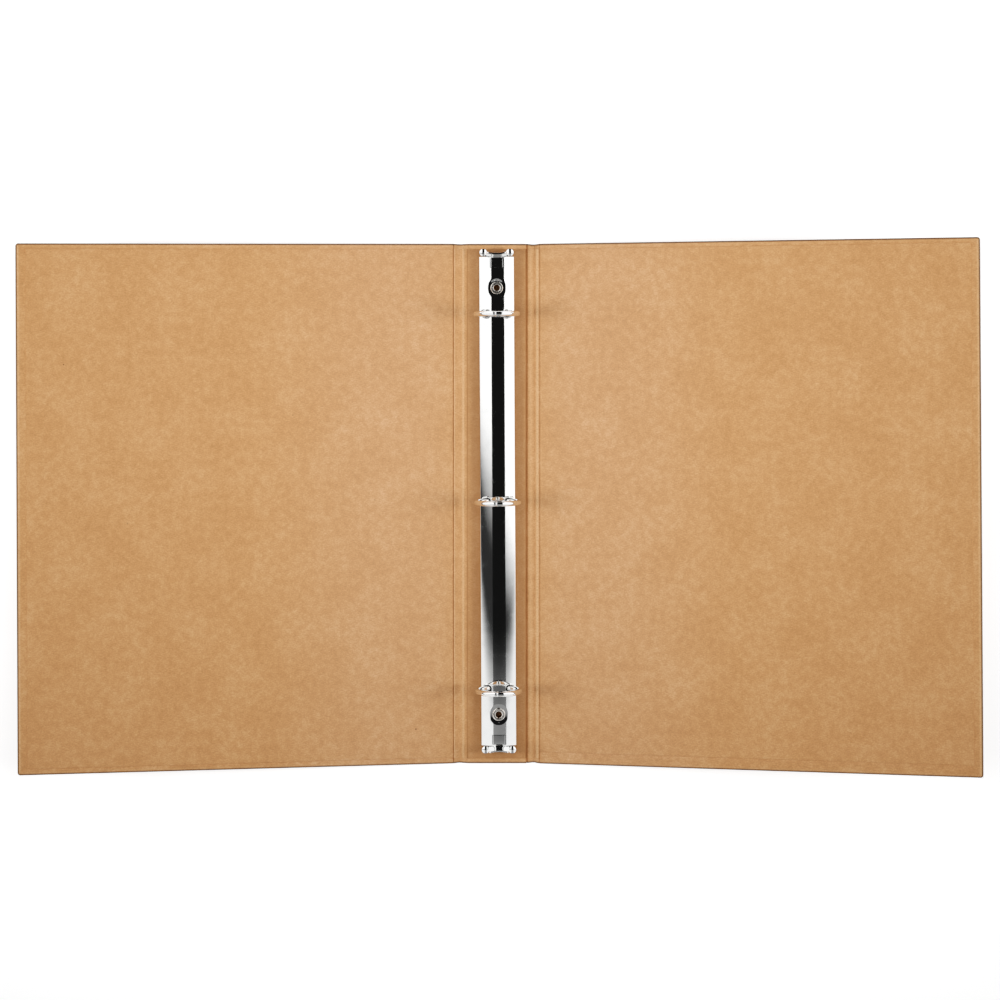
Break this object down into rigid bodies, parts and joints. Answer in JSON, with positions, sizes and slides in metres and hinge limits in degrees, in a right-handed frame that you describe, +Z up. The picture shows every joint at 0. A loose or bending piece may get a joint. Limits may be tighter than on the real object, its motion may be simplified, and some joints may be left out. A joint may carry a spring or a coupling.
{
  "type": "scrapbook album",
  "caption": "Kraft ring-binder album lying open: wrapped cover boards fold on paper hinges beside a spine, and a riveted arched plate with end levers opens split rings that hold the pages.",
  "frame": {"origin": "centre of the spine's outer face, which rests on the table when the album lies open", "axes": "+X across the spine towards the back cover, +Y along the spine towards the head, +Z up out of the open album"},
  "size_m": [0.5438, 0.3037, 0.0551],
  "materials": {
    "kraft_wrap": "matte",
    "kraft_liner": "matte",
    "greyboard": "matte",
    "plate_chrome": "polished",
    "ring_chrome": "polished",
    "blade_steel": "satin",
    "rivet_nickel": "polished"
  },
  "bodies": {
    "spine": {"spine_board": "greyboard", "spine_wrap": "kraft_wrap", "spine_liner": "kraft_liner", "front_hinge_wrap": "kraft_wrap", "front_hinge_liner": "kraft_liner", "back_hinge_wrap": "kraft_wrap", "back_hinge_liner": "kraft_liner", "ring_plate": "plate_chrome", "head_rivet": "rivet_nickel", "tail_rivet": "rivet_nickel"},
    "front_cover": {"front_cover_board": "greyboard", "front_cover_wrap": "kraft_wrap", "front_cover_liner": "kraft_liner"},
    "back_cover": {"back_cover_board": "greyboard", "back_cover_wrap": "kraft_wrap", "back_cover_liner": "kraft_liner"},
    "left_rings": {"left_blade": "blade_steel", "left_half_ring_1": "ring_chrome", "left_half_ring_2": "ring_chrome", "left_half_ring_3": "ring_chrome"},
    "right_rings": {"right_blade": "blade_steel", "right_half_ring_1": "ring_chrome", "right_half_ring_2": "ring_chrome", "right_half_ring_3": "ring_chrome"},
    "head_lever": {"head_lever": "plate_chrome"},
    "tail_lever": {"tail_lever": "plate_chrome"}
  },
  "joints": [
    {"name": "front_cover_hinge", "type": "hinge", "parent": "spine", "child": "front_cover", "pos_m": [-0.0213, 0, 0.0003], "axis": [0, 1, 0], "range_deg": [-7.2, 82.8], "deforming": ["front_hinge_wrap", "front_hinge_liner"]},
    {"name": "back_cover_hinge", "type": "hinge", "parent": "spine", "child": "back_cover", "pos_m": [0.0213, 0, 0.0003], "axis": [0, -1, 0], "range_deg": [-11.8, 78.2], "deforming": ["back_hinge_wrap", "back_hinge_liner"]},
    {"name": "left_ring_swing", "type": "hinge", "parent": "spine", "child": "left_rings", "pos_m": [-0.00845, 0.0018, 0.0055], "axis": [0, -1, 0], "range_deg": [0, 16]},
    {"name": "right_ring_swing", "type": "hinge", "parent": "spine", "child": "right_rings", "pos_m": [0.00965, 0.0018, 0.0055], "axis": [0, 1, 0], "range_deg": [0, 16]},
    {"name": "head_lever_tilt", "type": "hinge", "parent": "spine", "child": "head_lever", "pos_m": [0.0006, 0.1443, 0.0046], "axis": [-1, 0, 0], "range_deg": [0, 24]},
    {"name": "tail_lever_tilt", "type": "hinge", "parent": "spine", "child": "tail_lever", "pos_m": [0.0006, -0.1407, 0.0046], "axis": [1, 0, 0], "range_deg": [0, 24]}
  ],
  "couplings": [
    {"joint": "right_ring_swing", "follows": "left_ring_swing", "ratio": 1},
    {"joint": "head_lever_tilt", "follows": "left_ring_swing", "ratio": 1.5},
    {"joint": "tail_lever_tilt", "follows": "left_ring_swing", "ratio": 1.5}
  ]
}
